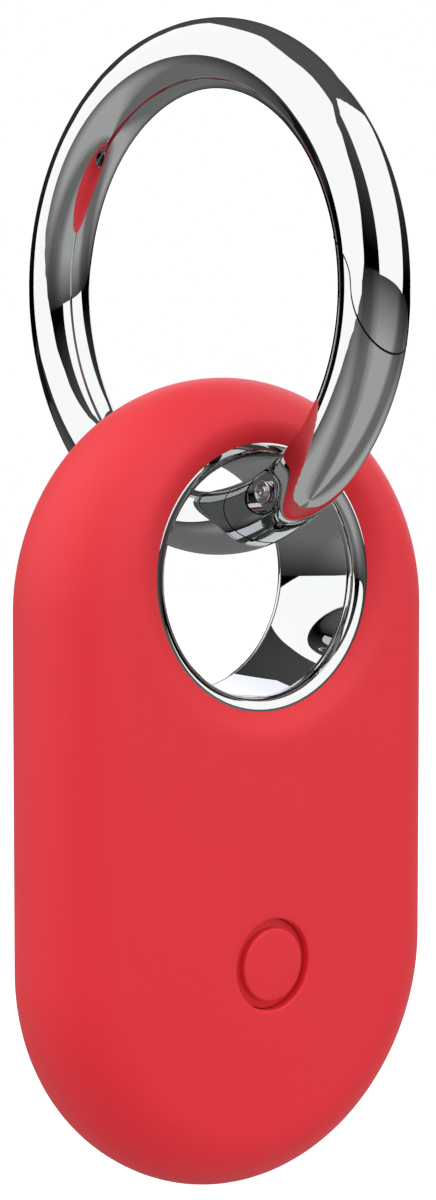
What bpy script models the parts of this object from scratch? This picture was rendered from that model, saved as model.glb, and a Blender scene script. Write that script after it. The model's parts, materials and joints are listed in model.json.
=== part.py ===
"""Bluetooth tracker tag in a silicone sleeve, hanging from a hinged key ring.

Run with: blender --background --python part.py

Metres, +X to the right seen from the front, -Y to the front, +Z up. The origin is the hang point,
on the inside of the key ring at its top. The tag is an upright pill with an eyelet near its top
end. The key ring passes through the eyelet, almost square to the face of the tag.
"""

import math
from collections import namedtuple

import bmesh
import bpy
from mathutils import Matrix, Vector

MM = 0.001
GAP = 0.3 * MM                      # clearance between pieces that move past each other
CLOSE = 0.2 * MM                    # clearance between pieces that are fixed together

# Key ring: a round bar bent to a circle, with a sprung gate.
RING_RADIUS = 15.43 * MM            # to the middle of the bar
BAR_RADIUS = 2.28 * MM
RING_YAW = math.radians(5.65)       # turn of the ring's own axis away from +X
RING_LEAN = math.radians(4.3)       # tilt of that axis above the horizontal
PIN_ANGLE = math.radians(243.5)     # places round the ring, from the rear, through the top
PIN_OFFSET = -0.5 * MM              # the pin sits a little to the inside of the bar
LATCH_ANGLE = math.radians(183.5)
LATCH_HALF_LENGTH = 3.8 * MM        # half length of the curved step where the gate closes
LATCH_OFFSET = 0.12 * MM            # how far outwards the middle of that step lies
KNUCKLE_RADIUS = 3.6 * MM           # the gate's rear end is an arc about the pin
TONGUE_RADIUS = 1.55 * MM
TONGUE_HALF = 0.55 * MM
PIN_RADIUS = 0.45 * MM
PIN_HOLE = 0.7 * MM
PIN_HEAD = 0.8 * MM
SPOT_FACE_RADIUS = 1.4 * MM
SPOT_FACE_LEVEL = 1.8 * MM          # from the middle of the bar to the flat under the pin's head

# Tag: every height below is from the middle of the pill, in the tag's own frame.
TAG_FROM_RING = Vector((0.9, -1.4, -32.9)) * MM    # middle of the pill, from the ring's centre
SLEEVE_WIDTH = 31.2 * MM
SLEEVE_HEIGHT = 54.2 * MM
SLEEVE_THICKNESS = 10.25 * MM
SLEEVE_EDGE = 4.6 * MM              # how far the rounded edge reaches in from the outline
SLEEVE_WALL = 1.1 * MM
SLEEVE_FACE_WALL = 1.0 * MM
SHELL_WALL = 0.9 * MM
EDGE_POWER = 2.15                   # superellipse power of every rounded edge
EYELET_HEIGHT = 13.84 * MM          # of the eyelet's centre above the middle of the pill
EYELET_BORE = 7.95 * MM
BEZEL_RADIUS = 8.7 * MM
BEZEL_FRONT = 4.4 * MM
BUTTON_HEIGHT = -11.58 * MM
GROOVE_RADIUS = 3.02 * MM           # outside of the round groove that outlines the button
PAD_RADIUS = 2.4 * MM
BATTERY_HEIGHT = -7.5 * MM
BATTERY_RADIUS = 10.0 * MM          # a 2032 coin cell
BATTERY_DEPTH = 3.2 * MM

HALF_SLEEVE = SLEEVE_THICKNESS / 2
HALF_CAVITY = HALF_SLEEVE - SLEEVE_FACE_WALL
HALF_SHELL = HALF_CAVITY - CLOSE
HALF_INSIDE = HALF_SHELL - SHELL_WALL
PARTING = 0.15 * MM
STRAIGHT = (SLEEVE_HEIGHT - SLEEVE_WIDTH) / 2      # half of the pill's straight sides
BOARD_FRONT = 1.4 * MM              # measured towards the front, as all the depths are
BOARD_REAR = 0.8 * MM
STEPS = 40                          # facets round the pill

parts = bpy.data.collections.new("bluetooth_tracker_tag")
cutters = bpy.data.collections.new("cutters")
for old in list(bpy.data.objects):
    bpy.data.objects.remove(old, do_unlink=True)
for collection in (parts, cutters):
    bpy.context.scene.collection.children.link(collection)


# ---------------------------------------------------------------- materials

def material(name, rgb, roughness, metallic=0.0):
    """A plain finish from an sRGB colour given as 0-255 numbers."""
    made = bpy.data.materials.new(name)
    made.use_nodes = True
    shader = made.node_tree.nodes["Principled BSDF"]
    linear = [((c / 255 + 0.055) / 1.055) ** 2.4 if c > 10 else c / 255 / 12.92 for c in rgb]
    shader.inputs["Base Color"].default_value = (*linear, 1.0)
    shader.inputs["Roughness"].default_value = roughness
    shader.inputs["Metallic"].default_value = metallic
    made.diffuse_color = (*linear, 1.0)
    return made


RED_SILICONE = material("red_silicone", (221, 53, 60), 0.55)
CHROME = material("polished_chrome", (226, 228, 230), 0.06, 1.0)
STEEL = material("spring_steel", (150, 150, 148), 0.3, 1.0)
HOUSING = material("grey_moulded_abs", (72, 74, 78), 0.45)
SEAL = material("black_seal_rubber", (30, 30, 32), 0.7)
BOARD = material("green_solder_mask", (22, 84, 52), 0.4)
CELL = material("nickel_plated_can", (188, 190, 190), 0.25, 1.0)
CONTACT = material("gold_plated_contact", (214, 176, 92), 0.25, 1.0)
CHIP = material("black_epoxy", (36, 36, 38), 0.6)
CERAMIC = material("white_ceramic", (226, 224, 216), 0.5)
BRASS = material("brass_disc", (196, 160, 84), 0.3, 1.0)


# ---------------------------------------------------------------- frames

def empty(name, matrix, parent=None):
    """An empty that carries the pieces of one body; it stands on that body's joint axis."""
    made = bpy.data.objects.new(name, None)
    made.parent = parent
    made.matrix_basis = matrix
    parts.objects.link(made)
    return made


def ring_axes():
    """Ring's own axes as columns: to the rear, up, and along the hinge axis to the right."""
    axis = Vector((math.cos(RING_YAW) * math.cos(RING_LEAN),
                   math.sin(RING_YAW) * math.cos(RING_LEAN), math.sin(RING_LEAN)))
    rear = Vector((-math.sin(RING_YAW), math.cos(RING_YAW), 0))
    up = axis.cross(rear)
    return Matrix((rear, up, axis)).transposed().to_4x4()


AXES = ring_axes()
RING_CENTRE = -(RING_RADIUS - BAR_RADIUS) * AXES.col[1].to_3d()
PIN_DISTANCE = RING_RADIUS + PIN_OFFSET
PIN_PLACE = Vector((math.cos(PIN_ANGLE), math.sin(PIN_ANGLE), 0)) * PIN_DISTANCE

Seat = namedtuple("Seat", "empty offset")
TAG_MIDDLE = RING_CENTRE + TAG_FROM_RING
EYELET_MIDDLE = TAG_MIDDLE + Vector((0, 0, EYELET_HEIGHT))


def seat(name, joint_point, drawn_from, turn=Matrix.Identity(4)):
    """Empty on a joint's axis, with the way from it to the point its pieces are drawn from."""
    return Seat(empty(name, Matrix.Translation(joint_point) @ turn), drawn_from - joint_point)


ring_seat = seat("key_ring_axis", RING_CENTRE, RING_CENTRE, AXES)
gate_seat = Seat(empty("gate_axis", Matrix.Translation(PIN_PLACE)
                       @ Matrix.Rotation(PIN_ANGLE + math.pi / 2, 4, "Z"), ring_seat.empty),
                 Vector((0, 0, 0)))
eyelet_seat = seat("eyelet_travel_axis", RING_CENTRE, EYELET_MIDDLE)
tag_seat = seat("tag_swivel_axis", EYELET_MIDDLE, TAG_MIDDLE)
button_seat = seat("button_axis", TAG_MIDDLE + Vector((0, -HALF_SLEEVE, BUTTON_HEIGHT)), TAG_MIDDLE)


# ---------------------------------------------------------------- shape makers

def place(name, mesh, finish, on, cutter=False):
    """Puts a mesh into the model on a seat, as one named piece or as one cutter."""
    mesh.name = name
    made = bpy.data.objects.new(name, mesh)
    made.parent = on.empty
    made.location = on.offset
    if cutter:
        made.hide_render = True
        made.display_type = "WIRE"
    else:
        mesh.materials.append(finish)
        mesh.shade_smooth()
        mesh.set_sharp_from_angle(angle=math.radians(35))
    (cutters if cutter else parts).objects.link(made)
    return made


def cut(piece, cutter, operation="DIFFERENCE"):
    """Adds a Boolean modifier that stays on the piece."""
    boolean = piece.modifiers.new(operation.lower(), "BOOLEAN")
    boolean.operation = operation
    boolean.solver = "EXACT"
    boolean.object = cutter


def baked(temporary):
    """Evaluated mesh of a temporary object, welded; the object is removed."""
    bpy.context.scene.collection.objects.link(temporary)
    graph = bpy.context.evaluated_depsgraph_get()
    mesh = bpy.data.meshes.new_from_object(temporary.evaluated_get(graph), depsgraph=graph)
    source = temporary.data
    bpy.data.objects.remove(temporary, do_unlink=True)
    (bpy.data.curves if isinstance(source, bpy.types.Curve) else bpy.data.meshes).remove(source)
    mesh.materials.clear()
    work = bmesh.new()
    work.from_mesh(mesh)
    bmesh.ops.remove_doubles(work, verts=work.verts, dist=1e-6)
    work.to_mesh(mesh)
    work.free()
    return mesh


TO_FRONT = Matrix.Rotation(math.pi / 2, 4, "X")     # a turning axis along local Z points to -Y


def turned(profile, steps=STEPS, loop=False, straight=0.0, to_world=TO_FRONT):
    """A profile of (radius, depth towards the front) points turned about its axis.

    The profile runs from the front down its outer side. With straight above zero, the two halves
    are pulled apart by that much up and down, which makes a pill of a round shape.
    """
    half_step = math.pi / steps
    scale = 1 / math.cos(half_step)
    mesh = bpy.data.meshes.new("profile")
    points = [(r * scale * math.cos(half_step), r * scale * math.sin(half_step), h)
              for r, h in profile]
    edges = [(i, i + 1) for i in range(len(points) - 1)]
    if loop:
        edges.append((len(points) - 1, 0))
    mesh.from_pydata(points, edges, [])
    temporary = bpy.data.objects.new("profile", mesh)
    screw = temporary.modifiers.new("turn", "SCREW")
    screw.steps = screw.render_steps = steps
    screw.use_merge_vertices = True
    screw.merge_threshold = 1e-6
    solid = baked(temporary)
    for vertex in solid.vertices:
        if abs(vertex.co.y) > 1e-7:
            vertex.co.y += math.copysign(straight, vertex.co.y)
    solid.transform(to_world)
    return solid


def rounded_edge(half_width, edge, half_depth, segments, low=0.0):
    """Superellipse quarter from the flat face out and down to the side, as (radius, depth)."""
    points = []
    for i in range(segments + 1):
        t = math.pi / 2 * (1 - i / segments)
        radius = half_width - edge + edge * math.cos(t) ** (2 / EDGE_POWER)
        depth = half_depth * math.sin(t) ** (2 / EDGE_POWER)
        if depth > low:
            points.append((radius, depth))
    return points


def pill_profile(half_width, edge, half_depth, segments):
    """Whole pill section, from the middle of the front face round to the middle of the rear."""
    front = rounded_edge(half_width, edge, half_depth, segments, low=1e-9)
    rear = [(r, -h) for r, h in reversed(front)]
    return [(0, half_depth), *front, (half_width, 0), *rear, (0, -half_depth)]


def disc(radius, depth, steps=24, at=(0, 0), level=0.0):
    """Cylinder along the depth, its middle at (across, up) and level towards the front."""
    work = bmesh.new()
    bmesh.ops.create_cone(work, cap_ends=True, segments=steps, radius1=radius, radius2=radius,
                          depth=depth, matrix=Matrix.Translation((0, 0, level)))
    mesh = bpy.data.meshes.new("disc")
    work.to_mesh(mesh)
    work.free()
    mesh.transform(TO_FRONT)
    mesh.transform(Matrix.Translation((at[0], 0, at[1])))
    return mesh


def block(size, at, front, bevel=0.0):
    """Box of (across, up) size at (across, up), from its front depth back to its rear depth."""
    near, far = front
    work = bmesh.new()
    centre = Vector((at[0], -(near + far) / 2, at[1]))
    scale = Matrix.Diagonal((size[0], abs(near - far), size[1], 1))
    bmesh.ops.create_cube(work, size=1, matrix=Matrix.Translation(centre) @ scale)
    if bevel:
        bmesh.ops.bevel(work, geom=list(work.edges), offset=bevel, segments=1, affect="EDGES")
    mesh = bpy.data.meshes.new("block")
    work.to_mesh(mesh)
    work.free()
    return mesh


def prism(outline, low, high):
    """Flat outline of (x, y) points, filled and raised from low to high along local Z."""
    curve = bpy.data.curves.new("outline", "CURVE")
    curve.dimensions = "2D"
    curve.fill_mode = "BOTH"
    curve.extrude = (high - low) / 2
    spline = curve.splines.new("POLY")
    spline.points.add(len(outline) - 1)
    for point, (x, y) in zip(spline.points, outline):
        point.co = (x, y, 0, 1)
    spline.use_cyclic_u = True
    mesh = baked(bpy.data.objects.new("outline", curve))
    mesh.transform(Matrix.Translation((0, 0, (low + high) / 2)))
    return mesh


def arc(radius, start, end, count, centre=(0, 0)):
    """Points on an arc, angles in degrees."""
    angles = [math.radians(start + (end - start) * i / (count - 1)) for i in range(count)]
    return [(centre[0] + radius * math.cos(a), centre[1] + radius * math.sin(a)) for a in angles]


# ---------------------------------------------------------------- key ring and gate

def on_bar(angle, offset):
    """Point in the ring's plane, offset outwards from the middle of the bar."""
    reach = RING_RADIUS + offset
    return (reach * math.cos(angle), reach * math.sin(angle))


def from_pin(x, y):
    """Point given in the gate frame, x along the bar away from the gate, y outwards."""
    along = Vector((-math.sin(PIN_ANGLE), math.cos(PIN_ANGLE)))
    outwards = Vector((math.cos(PIN_ANGLE), math.sin(PIN_ANGLE)))
    return tuple(PIN_PLACE.to_2d() + along * x + outwards * y)


def gate_outline(shrink):
    """Outline in the ring's plane of all that belongs to the gate, shrunk by half a gap.

    At the latch it follows an S: offset from its middle = bar radius x (length / half length)
    squared, outwards on the gate's side and inwards on the other. At the hinge it is an arc about
    the pin.
    """
    outside = 1.6 * BAR_RADIUS
    latch = []
    for i in range(13):
        t = 1.15 * (2 * i / 12 - 1)
        along = t * LATCH_HALF_LENGTH + 0.6 * shrink
        offset = LATCH_OFFSET + math.copysign(BAR_RADIUS * t * t, t) - 0.8 * shrink
        latch.append(on_bar(LATCH_ANGLE + along / RING_RADIUS, offset))
    hinge = [from_pin(x, y) for x, y in arc(KNUCKLE_RADIUS - shrink, 75, -60, 13)]
    sweep = [LATCH_ANGLE + (PIN_ANGLE - LATCH_ANGLE) * k for k in (0.3, 0.5, 0.7, 0.9)]
    outer = [on_bar(a, outside) for a in sweep]
    inner = [on_bar(a, -outside) for a in reversed(sweep)]
    return [*latch, *outer, *hinge, *inner]


def torus():
    work_object = bpy.ops.mesh.primitive_torus_add
    work_object(major_radius=RING_RADIUS, minor_radius=BAR_RADIUS, major_segments=60,
                minor_segments=12)
    made = bpy.context.object
    mesh = made.data
    bpy.data.objects.remove(made, do_unlink=True)
    return mesh


def hinge_parts():
    """Key ring body with a tongue, the gate that forks round it, and the pin through both."""
    tall = 2 * BAR_RADIUS
    far = 3 * BAR_RADIUS
    tongue = [*arc(TONGUE_RADIUS, 90, 305, 10), (far * 0.574, -far * 0.819), (far, -far * 0.819),
              (far, far), (0, far)]
    tongue_tool = place("tongue_tool", prism([from_pin(*p) for p in tongue],
                                             -TONGUE_HALF, TONGUE_HALF), None, ring_seat, True)
    opening = place("gate_room", prism(gate_outline(-GAP / 2), -tall, tall), None, ring_seat, True)
    cut(opening, tongue_tool)
    pin_hole = place("pin_hole", prism(arc(PIN_HOLE, 0, 345, 24), -tall, tall), None,
                     gate_seat, True)

    body = place("key_ring_body", torus(), CHROME, ring_seat)
    cut(body, opening)
    cut(body, pin_hole)

    gate = place("ring_gate", torus(), CHROME, ring_seat)
    cut(gate, place("gate_tool", prism(gate_outline(GAP / 2), -tall, tall), None,
                    ring_seat, True), "INTERSECT")
    slot_arc = arc(TONGUE_RADIUS + GAP, 100, 270, 10)
    slot = [*slot_arc, (0, -far), (far, -far), (far, far), (slot_arc[0][0], far)]
    slot_half = TONGUE_HALF + GAP
    cut(gate, place("slot_tool", prism(slot, -slot_half, slot_half), None, gate_seat, True))
    cut(gate, pin_hole)
    for name, low, high in (("spot_face_right", SPOT_FACE_LEVEL, tall),
                            ("spot_face_left", -tall, -SPOT_FACE_LEVEL)):
        cut(gate, place(name, prism(arc(SPOT_FACE_RADIUS, 0, 345, 24), low, high), None,
                        gate_seat, True))
    head = BAR_RADIUS - 0.1 * MM
    seat = SPOT_FACE_LEVEL + 0.15 * MM
    half = [(0, head), (0.55 * PIN_HEAD, head), (PIN_HEAD, head - 0.1 * MM), (PIN_HEAD, seat),
            (PIN_RADIUS, seat)]
    profile = half + [(r, -h) for r, h in reversed(half)]
    place("hinge_pin", turned(profile, 20, to_world=Matrix.Identity(4)), STEEL, gate_seat)
    gate_spring_parts(gate)


def gate_spring_parts(gate):
    """Bore in the gate with the spring and the plunger that press on the tongue."""
    bore_radius = 0.95 * MM
    bore_end = 8.0 * MM
    nose = TONGUE_RADIUS + GAP
    target = Vector(from_pin(0, 0)) - Vector(on_bar(PIN_ANGLE - bore_end / RING_RADIUS, 0))
    along = Vector((target.x, target.y, 0)).normalized()
    turn = along.to_track_quat("Z", "Y").to_matrix().to_4x4()
    in_gate = gate_seat.empty.matrix_basis.inverted() @ Matrix.Translation(PIN_PLACE) @ turn
    bore = empty("gate_bore_axis", in_gate, gate_seat.empty)
    frame = Seat(bore, Vector((0, 0, 0)))
    cut(gate, place("bore_tool", turned([(0, -nose + GAP), (bore_radius, -nose + GAP),
                                         (bore_radius, -bore_end), (0, -bore_end)], 16,
                                        to_world=Matrix.Identity(4)), None, frame, True))
    plunger = [(0, -nose), (0.4 * MM, -nose - 0.1 * MM), (0.65 * MM, -nose - 0.35 * MM),
               (0.65 * MM, -nose - 2.0 * MM), (0, -nose - 2.0 * MM)]
    place("gate_plunger", turned(plunger, 16, to_world=Matrix.Identity(4)), STEEL, frame)

    curve = bpy.data.curves.new("spring", "CURVE")
    curve.dimensions = "3D"
    curve.bevel_depth = 0.14 * MM
    curve.bevel_resolution = 1
    curve.use_fill_caps = True
    turns, per_turn = 4, 9
    start = -nose - 2.4 * MM
    end = -bore_end + 0.4 * MM
    spline = curve.splines.new("POLY")
    spline.points.add(turns * per_turn)
    for i, point in enumerate(spline.points):
        angle = 2 * math.pi * i / per_turn
        height = start + (end - start) * i / (turns * per_turn)
        point.co = (0.6 * MM * math.cos(angle), 0.6 * MM * math.sin(angle), height, 1)
    place("gate_spring", baked(bpy.data.objects.new("spring", curve)), STEEL, frame)


# ---------------------------------------------------------------- eyelet

def eyelet_parts():
    """Chrome lining of the eyelet: a flanged barrel with a rounded bezel at each end."""
    end = 3.2 * MM
    wall = 0.5 * MM
    flange, flange_half = 1.3 * MM, 1.0 * MM
    bore = EYELET_BORE
    profile = [(bore, end), (bore + wall, end), (bore + wall, flange_half),
               (bore + flange, flange_half), (bore + flange, -flange_half),
               (bore + wall, -flange_half), (bore + wall, -end), (bore, -end)]
    place("eyelet_barrel", turned(profile, 36, loop=True), CHROME, eyelet_seat)

    middle, reach = (bore + BEZEL_RADIUS) / 2, (BEZEL_RADIUS - bore) / 2
    lip = [(middle + reach * math.cos(a), BEZEL_FRONT - reach + reach * math.sin(a))
           for a in (math.pi * k / 4 for k in range(4, -1, -1))]
    root = end + CLOSE
    front = [*lip, (BEZEL_RADIUS - 0.15 * MM, root), (bore, root)]
    place("eyelet_front_bezel", turned(front, 36, loop=True), CHROME, eyelet_seat)
    rear = [(r, -h) for r, h in reversed(front)]
    place("eyelet_rear_bezel", turned(rear, 36, loop=True), CHROME, eyelet_seat)


# ---------------------------------------------------------------- sleeve and button

def eyelet_tool(name, radius, half):
    """Cutter through the eyelet's place in the tag."""
    tool = disc(radius, 2 * half, 36, at=(0, EYELET_HEIGHT))
    return place(name, tool, None, tag_seat, True)


def sleeve():
    """Silicone sleeve: a hollow pill, open at the eyelet, with a soft dish round the opening."""
    half_width = SLEEVE_WIDTH / 2
    outside = pill_profile(half_width, SLEEVE_EDGE, HALF_SLEEVE, 5)
    inside = pill_profile(half_width - SLEEVE_WALL, SLEEVE_EDGE - SLEEVE_WALL, HALF_CAVITY, 4)
    piece = place("silicone_sleeve", turned(outside, straight=STRAIGHT), RED_SILICONE, tag_seat)
    cut(piece, place("sleeve_room", turned(inside, straight=STRAIGHT), None, tag_seat, True))

    hole = BEZEL_RADIUS + GAP
    lip = 1.1 * MM
    above = HALF_SLEEVE + 1 * MM
    dish = [(hole + lip * (1 - math.sin(a)), HALF_SLEEVE - 0.85 * lip * (1 - math.cos(a)))
            for a in (math.pi / 2 * k / 3 for k in range(4))]
    front = [(0, above), (hole + 1.3 * lip, above), (hole + 1.3 * lip, HALF_SLEEVE + 0.1 * MM),
             *dish]
    profile = front + [(r, -h) for r, h in reversed(front)]
    tool = turned(profile, 36)
    tool.transform(Matrix.Translation((0, 0, EYELET_HEIGHT)))
    cut(piece, place("sleeve_eyelet_tool", tool, None, tag_seat, True))
    cut(piece, place("button_opening", disc(GROOVE_RADIUS, 2 * MM, 32, (0, BUTTON_HEIGHT),
                                            HALF_SLEEVE), None, tag_seat, True))

    flange_radius, floor, rear = 2.72 * MM, 0.6 * MM, 0.82 * MM
    crown = 0.12 * MM
    pad = [(0, 0), (PAD_RADIUS - crown, 0), (PAD_RADIUS, -crown), (PAD_RADIUS, -floor),
           (flange_radius, -floor), (flange_radius, -rear), (0, -rear)]
    mesh = turned([(r, h + HALF_SLEEVE) for r, h in pad], 28)
    mesh.transform(Matrix.Translation((0, 0, BUTTON_HEIGHT)))
    place("sleeve_button_pad", mesh, RED_SILICONE, button_seat)


def button_key():
    """Hard key under the pad, kept in by a flange behind the front shell."""
    top, step, rear = 4.1 * MM, 2.85 * MM, 2.6 * MM
    key = [(0, top), (2.3 * MM, top), (2.3 * MM, step), (2.9 * MM, step), (2.9 * MM, rear),
           (0, rear)]
    mesh = turned(key, 24)
    mesh.transform(Matrix.Translation((0, 0, BUTTON_HEIGHT)))
    place("button_key", mesh, HOUSING, button_seat)


# ---------------------------------------------------------------- housing

def shells():
    """Front and rear shells. Each has a round wall that traps the eyelet barrel's flange."""
    half_width = SLEEVE_WIDTH / 2 - SLEEVE_WALL - CLOSE
    edge = SLEEVE_EDGE - SLEEVE_WALL - CLOSE
    outer = rounded_edge(half_width, edge, HALF_SHELL, 4, low=PARTING)
    inner = rounded_edge(half_width - SHELL_WALL, edge - SHELL_WALL, HALF_INSIDE, 3, low=PARTING)
    profile = [(0, HALF_SHELL), *outer, (half_width, PARTING), (half_width - SHELL_WALL, PARTING),
               *reversed(inner), (0, HALF_INSIDE)]
    front = place("front_shell", turned(profile, straight=STRAIGHT), HOUSING, tag_seat)
    rear_profile = [(r, -h) for r, h in reversed(profile)]
    rear = place("rear_shell", turned(rear_profile, straight=STRAIGHT), HOUSING, tag_seat)

    hole = BEZEL_RADIUS + 0.05 * MM
    wall_outside = hole + SHELL_WALL
    wall_end = 1.25 * MM
    root = HALF_INSIDE + 0.3 * MM
    for shell, side in ((front, 1), (rear, -1)):
        depth = root - wall_end
        wall = disc(wall_outside, depth, 36, (0, EYELET_HEIGHT), side * (root + wall_end) / 2)
        cut(shell, place(f"{shell.name}_wall", wall, None, tag_seat, True), "UNION")
        cut(shell, eyelet_tool(f"{shell.name}_eyelet", hole + 0.02 * side * MM, 6 * MM))

    cut(front, place("key_opening", disc(2.6 * MM, 4 * MM, 24, (0, BUTTON_HEIGHT), HALF_SHELL),
                     None, tag_seat, True))
    cut(rear, place("battery_opening", disc(BATTERY_RADIUS + 0.4 * MM, 3 * MM, 36,
                                            (0, BATTERY_HEIGHT), -HALF_SHELL),
                    None, tag_seat, True))
    screws(front)
    battery_cover()


def screws(front):
    """Two screws hold the board to bosses on the front shell."""
    across, up = 9.6 * MM, 2.8 * MM
    boss_end = BOARD_FRONT + 0.15 * MM
    root = HALF_INSIDE + 0.3 * MM
    for name, side in (("left", -1), ("right", 1)):
        at = (side * across, up)
        boss = disc(1.25 * MM, root - boss_end, 16, at, (root + boss_end) / 2)
        cut(front, place(f"boss_{name}", boss, None, tag_seat, True), "UNION")
        pilot = disc(0.7 * MM, 1.5 * MM, 12, at, boss_end)
        cut(front, place(f"pilot_{name}", pilot, None, tag_seat, True))
        head = BOARD_REAR - 0.15 * MM
        shape = [(0, head - 0.45 * MM), (1.1 * MM, head - 0.45 * MM), (1.1 * MM, head),
                 (0.5 * MM, head), (0.5 * MM, 1.9 * MM), (0, 1.9 * MM)]
        mesh = turned([(r, h) for r, h in reversed(shape)], 16)
        mesh.transform(Matrix.Translation((at[0], 0, at[1])))
        screw = place(f"board_screw_{name}", mesh, STEEL, tag_seat)
        slot = block((1.4 * MM, 0.3 * MM), at, (head - 0.2 * MM, head - 1 * MM))
        cut(screw, place(f"screw_slot_{name}", slot, None, tag_seat, True))


def battery_cover():
    """Round cover in the rear shell with a coin slot and a sealing ring in its step."""
    radius = BATTERY_RADIUS + 0.1 * MM
    outer, step, inner = -HALF_SHELL + 0.02 * MM, -HALF_SHELL + 0.45 * MM, -HALF_INSIDE - 0.1 * MM
    cover = [(0, inner), (radius - 0.7 * MM, inner), (radius - 0.7 * MM, step), (radius, step),
             (radius, outer), (0, outer)]
    mesh = turned(cover, 36)
    mesh.transform(Matrix.Translation((0, 0, BATTERY_HEIGHT)))
    piece = place("battery_cover", mesh, HOUSING, tag_seat)
    slot = block((9 * MM, 1.4 * MM), (0, BATTERY_HEIGHT), (outer + 0.35 * MM, outer - 1 * MM))
    cut(piece, place("coin_slot", slot, None, tag_seat, True))
    near, far = inner - 0.02 * MM, step + 0.08 * MM
    inside, outside = radius - 0.55 * MM, radius - 0.05 * MM
    ring = [(inside, near), (outside, near), (outside, far), (inside, far)]
    seal = turned(ring, 36, loop=True)
    seal.transform(Matrix.Translation((0, 0, BATTERY_HEIGHT)))
    place("battery_seal", seal, SEAL, tag_seat)


# ---------------------------------------------------------------- electronics

def board_and_battery():
    """Pill-shaped board, the coin cell behind it and the two contacts that hold the cell."""
    half_width = 12.85 * MM
    board = turned([(0, BOARD_FRONT), (half_width, BOARD_FRONT), (half_width, BOARD_REAR),
                    (0, BOARD_REAR)], straight=STRAIGHT)
    piece = place("circuit_board", board, BOARD, tag_seat)
    cut(piece, eyelet_tool("board_eyelet", BEZEL_RADIUS + SHELL_WALL + 0.4 * MM, 3 * MM))
    for name, side in (("left", -1), ("right", 1)):
        hole = disc(0.75 * MM, 3 * MM, 12, (side * 9.6 * MM, 2.8 * MM), BOARD_FRONT)
        cut(piece, place(f"board_hole_{name}", hole, None, tag_seat, True))

    near = 0.35 * MM
    far = near - BATTERY_DEPTH
    lip = 0.25 * MM
    can = [(0, near), (BATTERY_RADIUS - 1.4 * MM, near), (BATTERY_RADIUS - 1.4 * MM, near - lip),
           (BATTERY_RADIUS - lip, near - lip), (BATTERY_RADIUS, near - 2 * lip),
           (BATTERY_RADIUS, far + lip), (BATTERY_RADIUS - lip, far), (0, far)]
    cell = turned(can, 32)
    cell.transform(Matrix.Translation((0, 0, BATTERY_HEIGHT)))
    place("coin_cell", cell, CELL, tag_seat)

    strip = 0.15 * MM
    foot = BOARD_REAR - 0.1 * MM
    tab_x = BATTERY_RADIUS + 0.2 * MM
    angle = [(tab_x, -foot), (12.0 * MM, -foot), (12.0 * MM, -foot + strip),
             (tab_x + strip, -foot + strip), (tab_x + strip, 1.6 * MM), (tab_x, 1.6 * MM)]
    positive = prism(angle, -1.6 * MM, 1.6 * MM)
    positive.transform(Matrix.Translation((0, 0, BATTERY_HEIGHT)))
    place("battery_contact_positive", positive, CONTACT, tag_seat)
    leaf = [(-3.0 * MM, -foot), (-1.4 * MM, -foot), (0.6 * MM, -foot + strip),
            (3.0 * MM, -foot + strip), (3.0 * MM, -foot + 2 * strip),
            (0.5 * MM, -foot + 2 * strip), (-1.5 * MM, -foot + strip), (-3.0 * MM, -foot + strip)]
    negative = prism([(x, y - 0.02 * MM) for x, y in leaf], -1.2 * MM, 1.2 * MM)
    negative.transform(Matrix.Translation((0, 0, BATTERY_HEIGHT)))
    place("battery_contact_negative", negative, CONTACT, tag_seat)


def switch():
    """Tactile switch under the button: a square body with the plunger in its well."""
    seat = BOARD_FRONT + 0.1 * MM
    top = 2.25 * MM
    body = place("switch_body", block((4 * MM, 4 * MM), (0, BUTTON_HEIGHT), (top, seat)),
                 CHIP, tag_seat)
    cut(body, place("switch_well", disc(1.0 * MM, 0.9 * MM, 20, (0, BUTTON_HEIGHT), top),
                    None, tag_seat, True))
    low, high = 2.1 * MM, 2.45 * MM
    place("switch_plunger", disc(0.7 * MM, high - low, 20, (0, BUTTON_HEIGHT), (low + high) / 2),
          CERAMIC, button_seat)


def sounder():
    """Piezo sounder on the front shell, with the two spring pins that feed it."""
    up = -2.2 * MM
    place("piezo_disc", disc(5.8 * MM, 0.2 * MM, 32, (0, up), 2.75 * MM), BRASS, tag_seat)
    place("piezo_ceramic", disc(4.0 * MM, 0.2 * MM, 32, (0, up), 2.45 * MM), CERAMIC, tag_seat)
    seat = BOARD_FRONT + 0.1 * MM
    for name, across, top in (("inner", 2.0 * MM, 2.25 * MM), ("outer", 4.9 * MM, 2.55 * MM)):
        pin = disc(0.45 * MM, top - seat, 12, (across, up), (top + seat) / 2)
        place(f"sounder_pin_{name}", pin, CONTACT, tag_seat)


def radio():
    """Radio under its shield, ranging chip, crystal and the two antennas."""
    seat = BOARD_FRONT + 0.1 * MM
    chips = (("radio_shield", (10, 5.6), (0, -18.2), 1.1, CELL),
             ("ranging_chip", (4, 4), (-9.2, -4.5), 0.7, CHIP),
             ("crystal", (2.5, 2), (8.6, -12.5), 0.6, CELL),
             ("chip_antenna", (6, 1), (0, -22.8), 0.8, CERAMIC))
    for name, size, at, height, finish in chips:
        mesh = block((size[0] * MM, size[1] * MM), (at[0] * MM, at[1] * MM),
                     (seat + height * MM, seat), 0.08 * MM)
        place(name, mesh, finish, tag_seat)
    inner, outer = BEZEL_RADIUS + SHELL_WALL + 0.35 * MM, BEZEL_RADIUS + SHELL_WALL + 1.35 * MM
    ribbon = prism([*arc(inner, -160, -20, 19), *arc(outer, -20, -160, 19)], 0, 0.15 * MM)
    ribbon.transform(TO_FRONT)
    ribbon.transform(Matrix.Translation((0, HALF_INSIDE - 0.15 * MM, EYELET_HEIGHT)))
    place("antenna_ribbon", ribbon, CONTACT, tag_seat)


hinge_parts()
eyelet_parts()
sleeve()
button_key()
shells()
board_and_battery()
switch()
sounder()
radio()
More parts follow.
